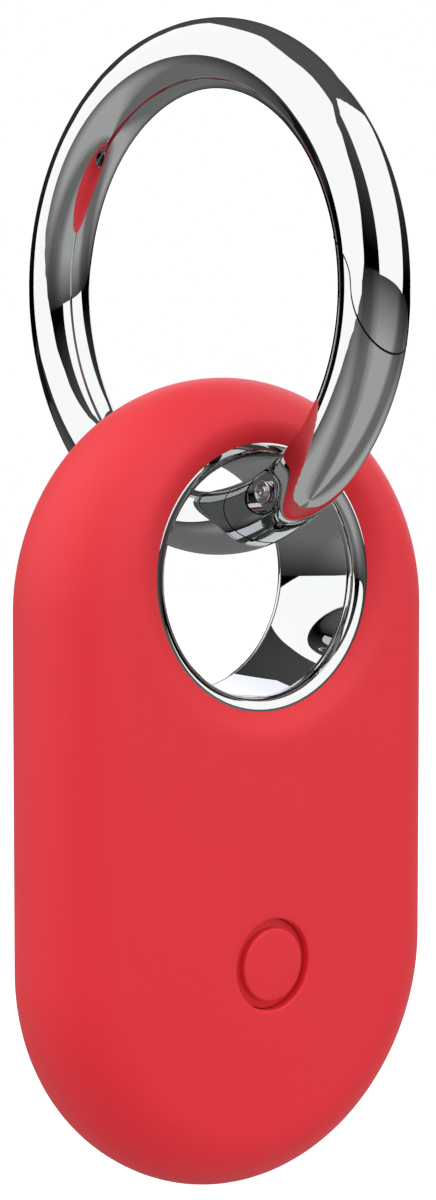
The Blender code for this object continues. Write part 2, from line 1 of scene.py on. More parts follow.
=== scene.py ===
"""Looks of a tracker tag: its silicone sleeve, button, chrome eyelet, key ring and stage.

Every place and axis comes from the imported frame. Lengths are in metres, MM is one millimetre.
"""

import json
import math

import bmesh
import bpy
import numpy as np
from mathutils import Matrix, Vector


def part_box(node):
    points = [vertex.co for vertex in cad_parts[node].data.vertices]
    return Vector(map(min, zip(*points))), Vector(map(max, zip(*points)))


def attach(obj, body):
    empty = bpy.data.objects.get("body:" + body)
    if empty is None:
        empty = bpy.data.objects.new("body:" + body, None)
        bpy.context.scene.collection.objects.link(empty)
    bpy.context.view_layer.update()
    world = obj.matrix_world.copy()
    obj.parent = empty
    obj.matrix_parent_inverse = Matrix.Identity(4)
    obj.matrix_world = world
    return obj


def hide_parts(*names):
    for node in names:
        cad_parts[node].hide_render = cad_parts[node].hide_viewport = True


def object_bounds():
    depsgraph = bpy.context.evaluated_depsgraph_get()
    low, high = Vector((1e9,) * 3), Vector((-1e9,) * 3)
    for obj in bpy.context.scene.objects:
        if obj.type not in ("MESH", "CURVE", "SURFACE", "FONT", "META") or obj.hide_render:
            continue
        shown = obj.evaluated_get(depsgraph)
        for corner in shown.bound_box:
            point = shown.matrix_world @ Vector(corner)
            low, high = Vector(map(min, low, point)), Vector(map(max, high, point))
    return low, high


bl_info = {
    "name": "Tracker tag looks",
    "version": (1, 0, 0),
    "blender": (4, 5, 0),
    "location": "View3D > Sidebar > Tracker tag",
    "description": "Fine surfaces, finishes and stage for a tracker tag on its key ring",
    "category": "Object",
}

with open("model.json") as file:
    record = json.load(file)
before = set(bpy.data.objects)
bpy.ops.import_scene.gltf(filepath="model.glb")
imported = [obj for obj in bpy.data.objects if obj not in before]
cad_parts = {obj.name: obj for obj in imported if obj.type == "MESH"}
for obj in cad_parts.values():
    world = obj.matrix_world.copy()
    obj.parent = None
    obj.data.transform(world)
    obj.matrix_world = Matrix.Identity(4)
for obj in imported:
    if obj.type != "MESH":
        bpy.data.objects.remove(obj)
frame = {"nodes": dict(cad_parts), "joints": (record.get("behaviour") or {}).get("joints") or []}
CAD_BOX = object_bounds()

MM = 0.001
SLEEVE_LOW, SLEEVE_HIGH = (np.array(corner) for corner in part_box("silicone_sleeve"))
TAG_MIDDLE = (SLEEVE_LOW + SLEEVE_HIGH) / 2
HALF_WIDTH, HALF_THICKNESS, HALF_HEIGHT = (SLEEVE_HIGH - SLEEVE_LOW) / 2
JOINTS = {joint["name"]: joint for joint in frame["joints"]}
RING_CENTRE = np.array(JOINTS["ring_travel"]["pos_m"])
PIN_PLACE = np.array(JOINTS["gate_hinge"]["pos_m"])
EYELET_CENTRE = np.array(JOINTS["tag_swivel"]["pos_m"])
PAD_LOW, PAD_HIGH = (np.array(corner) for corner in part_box("sleeve_button_pad"))
BUTTON_CENTRE = np.array((TAG_MIDDLE[0], TAG_MIDDLE[1], (PAD_LOW[2] + PAD_HIGH[2]) / 2))
BAR_RADIUS_MM = 2.28
RING_RADIUS = np.linalg.norm(RING_CENTRE) + BAR_RADIUS_MM * MM      # to the middle of the bar
SHARP = math.radians(32)            # edges that turn by more than this are drawn sharp


def unit(vector):
    return vector / np.linalg.norm(vector)


RING_AXIS = unit(np.array(JOINTS["ring_travel"]["axis"]))
RING_REAR = unit(np.cross((0, 0, 1), RING_AXIS))
RING_UP = np.cross(RING_AXIS, RING_REAR)
PIN_ANGLE = math.atan2((PIN_PLACE - RING_CENTRE) @ RING_UP, (PIN_PLACE - RING_CENTRE) @ RING_REAR)
PIN_ANGLE %= 2 * math.pi
PIN_DISTANCE = np.linalg.norm(PIN_PLACE - RING_CENTRE)
TO_FRONT = (np.array((1, 0, 0)), np.array((0, 0, 1)), np.array((0, -1, 0)))


# ---------------------------------------------------------------- settings

def size(name, description, default_mm):
    """A length the user may change, given here in millimetres."""
    return bpy.props.FloatProperty(name=name, description=description, default=default_mm * MM,
                                   subtype="DISTANCE", unit="LENGTH", precision=5)


def colour(name, description, code):
    """A colour the user may change, from an sRGB hex value."""
    return bpy.props.FloatVectorProperty(name=name, description=description, size=4, min=0, max=1,
                                         default=linear(code), subtype="COLOR")


def linear(code):
    """Linear RGBA from an sRGB hex value such as DD353C."""
    srgb = [int(code[i:i + 2], 16) / 255 for i in (0, 2, 4)]
    return (*[c / 12.92 if c < 0.04045 else ((c + 0.055) / 1.055) ** 2.4 for c in srgb], 1.0)


class SleeveSizes(bpy.types.PropertyGroup):
    edge: size("Edge", "How far the rounded edge reaches in from the outline", 4.6)
    power: bpy.props.FloatProperty(name="Edge power", default=2.15,
                                   description="Superellipse power of the rounded edge")
    wall: size("Side wall", "Thickness of the silicone at the sides", 1.1)
    face_wall: size("Face wall", "Thickness of the silicone on both faces", 1.0)
    hole: size("Hole radius", "Radius of the opening round the eyelet", 8.8)
    dish: size("Dish width", "Width of the soft roll-off round the opening", 1.9)
    dish_depth: size("Dish depth", "How far the opening's rim lies below the face", 0.775)
    groove: size("Groove radius", "Outside of the round groove of the button", 3.02)
    groove_edge: size("Groove edge", "Rounding of the groove's upper edge", 0.14)


class ButtonSizes(bpy.types.PropertyGroup):
    radius: size("Pad radius", "Radius of the button's face", 2.4)
    floor: size("Groove depth", "Depth of the groove round the pad", 0.6)
    flange: size("Flange radius", "Radius of the groove's floor", 2.97)
    thickness: size("Thickness", "Thickness of the pad", 0.82)
    edge: size("Edge", "Rounding of the pad's edge", 0.16)


class EyeletSizes(bpy.types.PropertyGroup):
    bore: size("Bore radius", "Radius of the hole through the tag", 7.95)
    rim: size("Rim radius", "Outer radius of the rounded lip", 8.77)
    front: size("Lip height", "Height of the lip above the middle of the tag", 4.35)
    lip: size("Lip rounding", "Radius of the lip's round section", 0.83)
    lip_inset: size("Lip inset", "From the rim in to the middle of that round section", 0.07)
    rear_joint: size("Rear joint height", "Where the barrel meets the rear trim ring", 3.9)
    joint: size("Joint height", "Where the lip's ring meets the barrel", 3.2)
    joint_gap: size("Joint gap", "Width of the line where they meet", 0.05)
    wall: size("Barrel wall", "Thickness of the barrel", 0.5)
    flange: size("Flange radius", "Radius of the flange that the shells trap", 9.25)
    flange_half: size("Flange half width", "Half the width of that flange", 1.0)


class RingSizes(bpy.types.PropertyGroup):
    bar: size("Bar radius", "Radius of the round bar", BAR_RADIUS_MM)
    latch_angle: bpy.props.FloatProperty(
        name="Latch angle", default=math.radians(183.5), subtype="ANGLE", unit="ROTATION",
        description="Place of the curved step where the gate closes, from the rear over the top")
    latch_length: size("Latch half length", "Half length of the curved step", 3.8)
    latch_offset: size("Latch offset", "How far outwards the middle of the step lies", 0.12)
    knuckle: size("Knuckle radius", "Radius of the gate's rear end about the pin", 3.6)
    seam: size("Seam", "Width of the gap between gate and ring", 0.1)
    spot_radius: size("Spot face radius", "Radius of the recess round the pin's head", 1.4)
    spot_level: size("Spot face level", "Height of that recess above the middle of the bar", 1.62)
    spot_rim: size("Spot face rim", "Radius of the recess's rounded edge", 0.09)
    pin_radius: size("Pin radius", "Radius of the pin's shank", 0.45)
    head_radius: size("Pin head radius", "Radius of the riveted head", 0.78)
    head_top: size("Pin head height", "Height of the head above the middle of the bar", 2.04)


class Finishes(bpy.types.PropertyGroup):
    silicone: colour("Silicone", "Colour of the sleeve and the button", "D9222E")
    chrome: colour("Chrome", "Tint of the plating", "C3C5C4")
    floor: colour("Floor", "Colour of the studio floor", "FAFAFA")


class StageSizes(bpy.types.PropertyGroup):
    lens: bpy.props.FloatProperty(name="Lens", default=54.24, subtype="DISTANCE_CAMERA",
                                  description="Focal length in millimetres on a 36 mm sensor")
    azimuth: bpy.props.FloatProperty(
        name="Azimuth", default=math.radians(-37.29), subtype="ANGLE", unit="ROTATION",
        description="Direction that the camera stands in, from the front towards the right")
    height: bpy.props.FloatProperty(
        name="Elevation", default=math.radians(2.723), subtype="ANGLE", unit="ROTATION",
        description="Angle that the camera looks down by")
    distance: size("Distance", "From the camera to the point that it looks at", 121.37)
    floor_drop: size("Floor drop", "Gap between the hanging tag and the floor", 12.0)


# ---------------------------------------------------------------- mesh making

WELD, NO_LENGTH = 3e-7, 1e-8        # distance within which points are one; shortest edge kept


def surface(name, patches, materials):
    """One closed mesh from patches of points.

    A patch is (grid of points, rows close up, columns close up, material number). Neighbouring
    points of a grid become the corners of a face; edges and poles that coincide are welded, and the
    faces are turned outwards.
    """
    points, faces, numbers, count = [], [], [], 0
    for grid, wrap_rows, wrap_columns, number in patches:
        rows, columns = grid.shape[:2]
        index = count + np.arange(rows * columns).reshape(rows, columns)
        if wrap_rows:
            index = np.vstack((index, index[:1]))
        if wrap_columns:
            index = np.hstack((index, index[:, :1]))
        quads = np.stack((index[:-1, :-1], index[1:, :-1], index[1:, 1:], index[:-1, 1:]), -1)
        points.append(grid.reshape(-1, 3))
        faces.append(quads.reshape(-1, 4))
        numbers.append(np.full(len(faces[-1]), number))
        count += rows * columns
    mesh = bpy.data.meshes.new(name)
    mesh.from_pydata(np.concatenate(points).tolist(), [], np.concatenate(faces).tolist())
    mesh.polygons.foreach_set("material_index", np.concatenate(numbers).astype(np.int32))
    work = bmesh.new()
    work.from_mesh(mesh)
    bmesh.ops.remove_doubles(work, verts=work.verts, dist=WELD)
    bmesh.ops.dissolve_degenerate(work, edges=work.edges, dist=NO_LENGTH)
    bmesh.ops.recalc_face_normals(work, faces=work.faces)
    work.to_mesh(mesh)
    work.free()
    for material in materials:
        mesh.materials.append(material)
    mesh.shade_smooth()
    mesh.set_sharp_from_angle(angle=SHARP)
    piece = bpy.data.objects.new(name, mesh)
    bpy.context.scene.collection.objects.link(piece)
    return piece


def lathe(profile, centre, axes=TO_FRONT, steps=160, loop=False):
    """Patch turned about an axis: radius r and depth d of the profile give, at angle a,
    centre + r cos(a) across + r sin(a) up + d out. The profile runs from pole to pole, or is a
    loop."""
    across, up, out = axes
    angle = np.linspace(0, 2 * math.pi, steps, endpoint=False)
    radius, depth = profile[:, :1], profile[:, 1:]
    ring = np.cos(angle)[:, None] * across + np.sin(angle)[:, None] * up
    grid = centre + radius[..., None] * ring[None] + depth[..., None] * out
    return grid, loop, True, 0


def softened(corners, cut, steps=5, loop=False):
    """Profile whose corners are replaced by parabolas that are tangent to both sides and start
    the cut's length from the corner, or at most a bit less than half the side."""
    corners = np.asarray(corners, float)
    cut = np.broadcast_to(cut, len(corners))
    t = np.linspace(0, 1, steps)[:, None]
    points = []
    longest = 0.45
    for i, corner in enumerate(corners):
        if not loop and i in (0, len(corners) - 1):
            points.append(corner[None])
            continue
        before, after = corners[i - 1] - corner, corners[(i + 1) % len(corners)] - corner
        start = corner + unit(before) * min(cut[i], longest * np.linalg.norm(before))
        end = corner + unit(after) * min(cut[i], longest * np.linalg.norm(after))
        points.append((1 - t) ** 2 * start + 2 * t * (1 - t) * corner + t ** 2 * end)
    return np.concatenate(points)


def carved(piece, *cutters, operation="DIFFERENCE"):
    """The piece with each cutter's shape taken out of it, or joined to it for a union; the
    cutters are removed."""
    for cutter in cutters:
        boolean = piece.modifiers.new("carve", "BOOLEAN")
        boolean.operation = operation
        boolean.object = cutter
        boolean.solver = "EXACT"
    graph = bpy.context.evaluated_depsgraph_get()
    mesh = bpy.data.meshes.new_from_object(piece.evaluated_get(graph), depsgraph=graph)
    mesh.name = piece.name
    piece.modifiers.clear()
    piece.data = mesh
    for cutter in cutters:
        bpy.data.objects.remove(cutter, do_unlink=True)
    mesh.set_sharp_from_angle(angle=SHARP)
    return piece


def hand_over(piece, body, node):
    """The piece rides on a body and stands for a node, which is hidden."""
    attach(piece, body)
    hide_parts(node)


# ---------------------------------------------------------------- finishes

def add(tree, kind, inputs=None, **settings):
    """Adds one node; inputs gives each socket a value or another node's output."""
    node = tree.nodes.new(kind)
    for key, value in settings.items():
        setattr(node, key, value)
    for socket, value in (inputs or {}).items():
        if isinstance(value, bpy.types.NodeSocket):
            tree.links.new(value, node.inputs[socket])
        else:
            node.inputs[socket].default_value = value
    return node


def finish(name, base, roughness, metallic=0.0, **constants):
    """A material with its Principled shader's own sockets set; returns it and its tree's parts."""
    made = bpy.data.materials.new(name)
    made.use_nodes = True
    tree = made.node_tree
    tree.nodes.clear()
    shader = add(tree, "ShaderNodeBsdfPrincipled", {"Base Color": base, "Roughness": roughness,
                                                    "Metallic": metallic, **constants})
    add(tree, "ShaderNodeOutputMaterial", {"Surface": shader.outputs["BSDF"]})
    place = add(tree, "ShaderNodeTexCoord").outputs["Object"]
    return made, tree, shader, place


def grained(name, base, roughness, metallic, grain, depth, spread, drift=0.0, **constants):
    """A finish with one fine grain: noise of the given grain size in metres lifts the surface by
    depth, moves the roughness by spread, and a slow noise darkens the colour by drift."""
    made, tree, shader, place = finish(name, base, roughness, metallic, **constants)
    noise = add(tree, "ShaderNodeTexNoise", {"Vector": place, "Scale": 1 / grain, "Detail": 3.0})
    rough = add(tree, "ShaderNodeMapRange", {"Value": noise.outputs["Fac"],
                                             "To Min": roughness - spread,
                                             "To Max": roughness + spread})
    tree.links.new(rough.outputs["Result"], shader.inputs["Roughness"])
    bump = add(tree, "ShaderNodeBump", {"Height": noise.outputs["Fac"], "Distance": depth})
    tree.links.new(bump.outputs["Normal"], shader.inputs["Normal"])
    if drift:
        slow = add(tree, "ShaderNodeTexNoise", {"Vector": place, "Scale": 0.05 / grain})
        dark = add(tree, "ShaderNodeMix", {"Factor": slow.outputs["Fac"], "A": base,
                                           "B": (*[c * (1 - drift) for c in base[:3]], 1.0)},
                   data_type="RGBA")
        tree.links.new(dark.outputs["Result"], shader.inputs["Base Color"])
    return made


def silicone_rubber(base):
    """Moulded silicone rubber with a satin mould texture: the eye sees an even colour, soft wide
    highlights and a faint fine grain of about a fifteenth of a millimetre."""
    return grained("moulded_silicone", base, 0.52, 0.0, 0.07 * MM, 0.002 * MM, 0.05, 0.03,
                   **{"IOR": 1.41, "Specular IOR Level": 0.35, "Sheen Weight": 0.04,
                      "Sheen Roughness": 0.5})


def chrome_plate(base):
    """Polished chrome plate on a zinc bar: a clear mirror, with faint wipe marks that only show as
    a slightly softer edge on some reflections."""
    made, tree, shader, place = finish("polished_chrome_plate", base, 0.03, 1.0)
    wipes = add(tree, "ShaderNodeTexNoise", {"Vector": place, "Scale": 1 / (4 * MM), "Detail": 4.0})
    rough = add(tree, "ShaderNodeMapRange", {"Value": wipes.outputs["Fac"], "From Min": 0.4,
                                             "From Max": 0.8, "To Min": 0.004, "To Max": 0.03})
    tree.links.new(rough.outputs["Result"], shader.inputs["Roughness"])
    return made


def gap_face(base):
    """Painted shade for the faces inside the seams, where light is trapped: an almost black finish
    that keeps each seam a dark line.
    """
    return grained("painted_shade_gap_face", base, 0.6, 0.6, 0.05 * MM, 0.002 * MM, 0.1)


# ---------------------------------------------------------------- silicone sleeve

class TAG_OT_sleeve(bpy.types.Operator):
    """Makes the hollow silicone sleeve with its dished eyelet opening and the button's opening"""
    bl_idname = "tracker_tag.sleeve"
    bl_label = "Silicone sleeve"

    def execute(self, context):
        sizes = context.scene.tracker_sleeve
        skin = silicone_rubber(context.scene.tracker_finishes.silicone[:])
        piece = surface("sleeve_skin", sleeve_patches(sizes), [skin])
        hand_over(piece, "tag", "silicone_sleeve")
        return {"FINISHED"}


JOIN_HEIGHT = -2.5 * MM             # where the upper and lower halves of the faces share a line
BELT_WIDTH = 1.6 * MM               # how far past the flat part the faces' rays end
ARC_STEPS, UPPER_STEPS, LOWER_STEPS = 90, 24, 16        # steps round an end and down each side
FINE_REACH = 1.35 * MM              # how far past the opening's rim the rows lie close together


def pill_outline():
    """Foot on the pill's middle line and outward normal at each step round the outline, and the
    number of the step where the lower half starts. An outline at distance d is foot + d normal."""
    straight = HALF_HEIGHT - HALF_WIDTH
    turn = np.linspace(0, math.pi, ARC_STEPS, endpoint=False)
    arc = np.ones(ARC_STEPS) * straight
    height = np.concatenate((
        np.linspace(JOIN_HEIGHT, straight, UPPER_STEPS, endpoint=False), arc,
        np.linspace(straight, JOIN_HEIGHT, UPPER_STEPS, endpoint=False),
        np.linspace(JOIN_HEIGHT, -straight, LOWER_STEPS, endpoint=False), -arc,
        np.linspace(-straight, JOIN_HEIGHT, LOWER_STEPS, endpoint=False)))
    angle = np.concatenate((
        np.zeros(UPPER_STEPS), turn, np.full(UPPER_STEPS + LOWER_STEPS, math.pi), math.pi + turn,
        np.full(LOWER_STEPS, 2 * math.pi)))
    foot = np.stack((np.zeros_like(height), height), -1)
    normal = np.stack((np.cos(angle), np.sin(angle)), -1)
    return foot, normal, 2 * UPPER_STEPS + ARC_STEPS


def sleeve_patches(sizes):
    """Outer and inner surface of the sleeve, joined through the two openings.

    Depth over the face is half the thickness times (1 - u^p)^(1/p), with u the distance beyond the
    start of the rounded edge over the edge's width, less the dish: its depth times (1 - w)^2, with
    w the distance from the opening's rim over the dish's width.
    """
    straight = HALF_HEIGHT - HALF_WIDTH
    flat = HALF_WIDTH - sizes.edge
    belt = flat + BELT_WIDTH
    power = sizes.power
    foot, normal, half = pill_outline()
    eyelet = np.array((EYELET_CENTRE[0], EYELET_CENTRE[2])) - TAG_MIDDLE[[0, 2]]
    button = np.array((0, BUTTON_CENTRE[2] - TAG_MIDDLE[2]))
    across = np.linspace(-belt, belt, 41)[1:-1]
    join = np.stack((across, np.full_like(across, JOIN_HEIGHT)), -1)
    ring = foot + belt * normal
    closed = np.concatenate((ring, ring[:1]))
    upper = np.concatenate((closed[:half + 1], join))
    lower = np.concatenate((closed[half:], join[::-1]))

    def depth(point, half_depth, edge):
        beyond = np.hypot(point[..., 0], np.maximum(np.abs(point[..., 1]) - straight, 0)) - flat
        bend = np.clip(beyond / edge, 0, 1) ** power
        return half_depth * (1 - bend) ** (1 / power)

    def drop(point):
        inwards = 1 - (np.linalg.norm(point - eyelet, axis=-1) - sizes.hole) / sizes.dish
        return sizes.dish_depth * np.clip(inwards, 0, 1) ** 2

    def placed(point, towards_front):
        return TAG_MIDDLE + np.stack((point[..., 0], -towards_front, point[..., 1]), -1)

    def rays(centre, outline, radii, rows):
        """Points on straight rays from a circle about the centre: first at the given radii, then
        in equal steps out to the outline."""
        way = outline - centre
        reach = np.linalg.norm(way, axis=-1)
        way = way / reach[:, None]
        first = np.broadcast_to(np.array(radii)[:, None], (len(radii), len(reach)))
        share = np.linspace(0, 1, rows + 1)[1:, None]
        distance = np.concatenate((first, radii[-1] + share * (reach - radii[-1])))
        return centre + distance[..., None] * way

    half_inside = HALF_THICKNESS - sizes.face_wall
    edge_inside = sizes.edge - sizes.wall
    patches = []
    bands = ((HALF_THICKNESS, sizes.edge, 13), (half_inside, edge_inside, 6))
    for half_depth, edge, steps in bands:
        start = math.acos(((belt - flat) / edge) ** (power / 2))
        t = np.linspace(start, -start, 2 * steps + 1)
        out = flat + edge * np.cos(t) ** (2 / power)
        level = half_depth * np.sign(t) * np.abs(np.sin(t)) ** (2 / power)
        point = foot[None] + out[:, None, None] * normal[None]
        level = np.broadcast_to(level[:, None], point.shape[:2])
        if edge == sizes.edge:
            level = level - np.sign(level) * drop(point)
        patches.append((placed(point, level), False, True, 0))

    dish_radii = sizes.hole + FINE_REACH * np.linspace(0, 1, 12) ** 1.3
    for side in (1, -1):
        point = rays(eyelet, upper, dish_radii, 12)
        rim_up = side * (depth(point, HALF_THICKNESS, sizes.edge) - drop(point))
        patches.append((placed(point, rim_up), False, True, 0))
        inner = rays(eyelet, upper, [sizes.hole], 4)
        rim_down = side * depth(inner, half_inside, edge_inside)
        patches.append((placed(inner, rim_down), False, True, 0))
        wall = np.stack((placed(point[0], rim_up[0]), placed(inner[0], rim_down[0])))
        patches.append((wall, False, True, 0))

    turn = np.linspace(0, math.pi / 2, 5)
    edge_radii = sizes.groove + sizes.groove_edge * (1 - np.cos(turn))
    point = rays(button, lower, edge_radii, 20)
    outer = depth(point, HALF_THICKNESS, sizes.edge)
    outer[:len(turn)] -= (sizes.groove_edge * (1 - np.sin(turn)))[:, None]
    patches.append((placed(point, outer), False, True, 0))
    inner = rays(button, lower, [sizes.groove], 6)
    inside = depth(inner, half_inside, edge_inside)
    patches.append((placed(inner, inside), False, True, 0))
    wall = np.stack((placed(point[0], outer[0]), placed(inner[0], inside[0])))
    patches.append((wall, False, True, 0))
    for half_depth, edge, rows in ((HALF_THICKNESS, sizes.edge, 24), (half_inside, edge_inside, 8)):
        point = rays(button, lower, [0.0], rows)
        patches.append((placed(point, -depth(point, half_depth, edge)), False, True, 0))
    return patches


# ---------------------------------------------------------------- button

class TAG_OT_button(bpy.types.Operator):
    """Makes the button's pad, the disc inside the round groove of the sleeve"""
    bl_idname = "tracker_tag.button"
    bl_label = "Button pad"

    def execute(self, context):
        sizes = context.scene.tracker_button
        skin = bpy.data.materials["moulded_silicone"]
        top = HALF_THICKNESS
        corners = [(0, top), (sizes.radius, top), (sizes.radius, top - sizes.floor),
                   (sizes.flange, top - sizes.floor), (sizes.flange, top - sizes.thickness),
                   (0, top - sizes.thickness)]
        shares = np.array((0, 1, 0.6, 0.3, 0.3, 0))     # of the edge's rounding, at each corner
        profile = softened(corners, shares * sizes.edge, 6)
        # One more ring of points on the flat face keeps the triangles at its pole short.
        inner_ring = profile[:1] + (0.8 * MM, 0)
        profile = np.concatenate((profile[:1], inner_ring, profile[1:]))
        piece = surface("button_pad", [lathe(profile, BUTTON_CENTRE, steps=96)], [skin])
        hand_over(piece, "button", "sleeve_button_pad")
        return {"FINISHED"}


# ---------------------------------------------------------------- eyelet

BROKEN_EDGE = 0.06 * MM             # how far in a machined corner is rounded


class TAG_OT_eyelet(bpy.types.Operator):
    """Makes the chrome lining of the eyelet: the barrel and a rounded lip at each end"""
    bl_idname = "tracker_tag.eyelet"
    bl_label = "Eyelet"

    def execute(self, context):
        sizes = context.scene.tracker_eyelet
        chrome = bpy.data.materials["polished_chrome_plate"]
        bore, outside = sizes.bore, sizes.bore + sizes.wall
        barrel = softened([(bore, sizes.joint), (outside, sizes.joint),
                           (outside, sizes.flange_half), (sizes.flange, sizes.flange_half),
                           (sizes.flange, -sizes.flange_half), (outside, -sizes.flange_half),
                           (outside, -sizes.rear_joint), (bore, -sizes.rear_joint)],
                          BROKEN_EDGE, loop=True)
        step = sizes.rear_joint + sizes.joint_gap
        rear_rim = sizes.rim - 0.08 * MM
        rear = softened([(bore, step), (rear_rim, step), (rear_rim, sizes.front),
                         (bore, sizes.front)], np.array((1, 1, 3, 5)) * BROKEN_EDGE, loop=True)
        for name, node, profile in (("eyelet_lining", "eyelet_barrel", barrel),
                                    ("eyelet_lip_front", "eyelet_front_bezel", lip_profile(sizes)),
                                    ("eyelet_lip_rear", "eyelet_rear_bezel", rear * (1, -1))):
            made = surface(name, [lathe(profile, EYELET_CENTRE, loop=True, steps=192)], [chrome])
            hand_over(made, "eyelet", node)
        return {"FINISHED"}


def lip_profile(sizes):
    """Front lip: a circle's arc from the rim, over the front and round the inner side, and behind
    it a narrower root that the shells hold."""
    middle = np.array((sizes.rim - sizes.lip_inset, sizes.front - sizes.lip))
    turn = np.radians(np.linspace(84, 202, 40))
    arc = middle + sizes.lip * np.stack((np.cos(turn), np.sin(turn)), -1)
    root, waist = sizes.joint + sizes.joint_gap, sizes.rim - 0.09 * MM
    corners = [arc[-1], (arc[-1][0], root), (waist, root), (waist, sizes.front - 0.3 * MM),
               (sizes.rim, sizes.front - 0.25 * MM), arc[0]]
    return np.concatenate((arc, softened(corners, BROKEN_EDGE)[1:-1]))


# ---------------------------------------------------------------- key ring

def on_bar(angle, section, bar):
    """Point on the bar's surface: centre + (R + r cos v)(rear cos u + up sin u) + r sin v axis."""
    reach = RING_RADIUS + bar * np.cos(section)
    spoke = np.cos(angle)[..., None] * RING_REAR + np.sin(angle)[..., None] * RING_UP
    return RING_CENTRE + reach[..., None] * spoke + (bar * np.sin(section))[..., None] * RING_AXIS


def latch_seam(offset, sizes, side):
    """Angle of the latch's step at an offset outwards from the middle of the bar: offset =
    offset of its middle + bar radius x t^2 with the sign of t, t = length along the bar over the
    half length, moved to one side of the seam by half its width."""
    shift = side * sizes.seam / 2
    share = (offset - sizes.latch_offset + 0.8 * shift) / sizes.bar
    along = np.sign(share) * np.sqrt(np.abs(share)) * sizes.latch_length + 0.6 * shift
    return sizes.latch_angle + along / RING_RADIUS


def hinge_seam(offset, sizes, side):
    """Angle past the pin of a circle about it: the cosine rule between the ring's centre, the pin
    and a point at the offset from the middle of the bar."""
    radius = sizes.knuckle - side * sizes.seam / 2
    reach = RING_RADIUS + offset
    cosine = (reach ** 2 + PIN_DISTANCE ** 2 - radius ** 2) / (2 * reach * PIN_DISTANCE)
    return PIN_ANGLE + np.arccos(np.clip(cosine, -1, 1))


def bar_between(start, end, sizes, steps):
    """Patches of a length of bar between two curved ends, each given as a function that turns an
    offset from the bar's middle into an angle. The sections crowd where the latch's step is steep.
    """
    even = np.linspace(0, math.pi, 41)
    crowd = np.linspace(-1, 1, 33)
    half = np.union1d(even.round(6), np.arccos(np.sign(crowd) * crowd ** 2).round(6))
    section = np.concatenate((half, -half[-2:0:-1]))
    offset = sizes.bar * np.cos(section)
    share = np.linspace(0, 1, steps)[:, None]
    angle = start(offset) * (1 - share) + end(offset) * share
    patches = [(on_bar(angle, np.broadcast_to(section, angle.shape), sizes.bar), False, True, 0)]
    rise = np.linspace(1, -1, 9)[:, None]
    offset = sizes.bar * np.cos(half)
    height = rise * sizes.bar * np.sin(half)
    for edge in (start, end):
        angle = np.broadcast_to(edge(offset), height.shape)
        spoke = np.cos(angle)[..., None] * RING_REAR + np.sin(angle)[..., None] * RING_UP
        cap = RING_CENTRE + (RING_RADIUS + offset)[None, :, None] * spoke
        # The end faces take the second material: painted shade that keeps the seams dark.
        patches.append((cap + height[..., None] * RING_AXIS, False, False, 1))
    return patches


BODY_STEPS, GATE_STEPS = 300, 110   # steps along the ring's bar and along the gate
PIN_PLAY = 0.03 * MM                # gap between the pin and its hole
HOLE_DEPTH = 0.6 * MM               # how far the pin's hole goes in below its spot face
PIN_ACROSS = -math.sin(PIN_ANGLE) * RING_REAR + math.cos(PIN_ANGLE) * RING_UP
PIN_AXES = (PIN_ACROSS, np.cross(RING_AXIS, PIN_ACROSS), RING_AXIS)


class TAG_OT_key_ring(bpy.types.Operator):
    """Makes the bent bar of the key ring, its gate with the spot faces, and the riveted pin"""
    bl_idname = "tracker_tag.key_ring"
    bl_label = "Key ring"

    def execute(self, context):
        sizes = context.scene.tracker_ring
        chrome = bpy.data.materials["polished_chrome_plate"]
        # The second material is painted shade for the faces inside the seams.
        gap = bpy.data.materials["painted_shade_gap_face"]
        body = surface("ring_bar", bar_between(
            lambda offset: hinge_seam(offset, sizes, -1) - 2 * math.pi,
            lambda offset: latch_seam(offset, sizes, -1), sizes, BODY_STEPS), [chrome, gap])
        hand_over(body, "key_ring", "key_ring_body")
        gate = surface("gate_bar", bar_between(
            lambda offset: latch_seam(offset, sizes, 1),
            lambda offset: hinge_seam(offset, sizes, 1), sizes, GATE_STEPS), [chrome, gap])
        hole = sizes.pin_radius + PIN_PLAY
        top = 2 * sizes.bar
        cutters = []
        for side in (1, -1):
            profile = np.array([(0, top), (sizes.spot_radius, top),
                                (sizes.spot_radius, sizes.spot_level), (hole, sizes.spot_level),
                                (hole, sizes.spot_level - HOLE_DEPTH),
                                (0, sizes.spot_level - HOLE_DEPTH)]) * (1, side)
            cutters.append(surface("spot_face_tool", [lathe(profile, PIN_PLACE, PIN_AXES, 96)],
                                   [chrome]))
        rims = [spot_rim(sizes, side, chrome) for side in (1, -1)]
        gate = carved(carved(gate, *cutters), *rims, operation="UNION")
        hand_over(gate, "gate", "ring_gate")
        hand_over(rivet(sizes, chrome), "key_ring", "hinge_pin")
        return {"FINISHED"}


def spot_rim(sizes, side, chrome):
    """Rounded edge of a spot face: a bead along the curve where its wall meets the round bar,
    height = square root of (bar radius^2 - offset from the middle of the bar^2)."""
    turn = np.linspace(0, 2 * math.pi, 96, endpoint=False)
    out = np.cos(turn)[:, None] * PIN_AXES[0] + np.sin(turn)[:, None] * PIN_AXES[1]
    edge = PIN_PLACE + sizes.spot_radius * out
    offset = np.linalg.norm(edge - RING_CENTRE, axis=1) - RING_RADIUS
    edge += side * np.sqrt(sizes.bar ** 2 - offset ** 2)[:, None] * RING_AXIS
    round_it = np.linspace(0, 2 * math.pi, 16, endpoint=False)[:, None]
    bead = edge[:, None] + sizes.spot_rim * (np.cos(round_it) * out[:, None]
                                             + np.sin(round_it) * RING_AXIS)
    return surface("spot_rim", [(bead, True, True, 0)], [chrome])


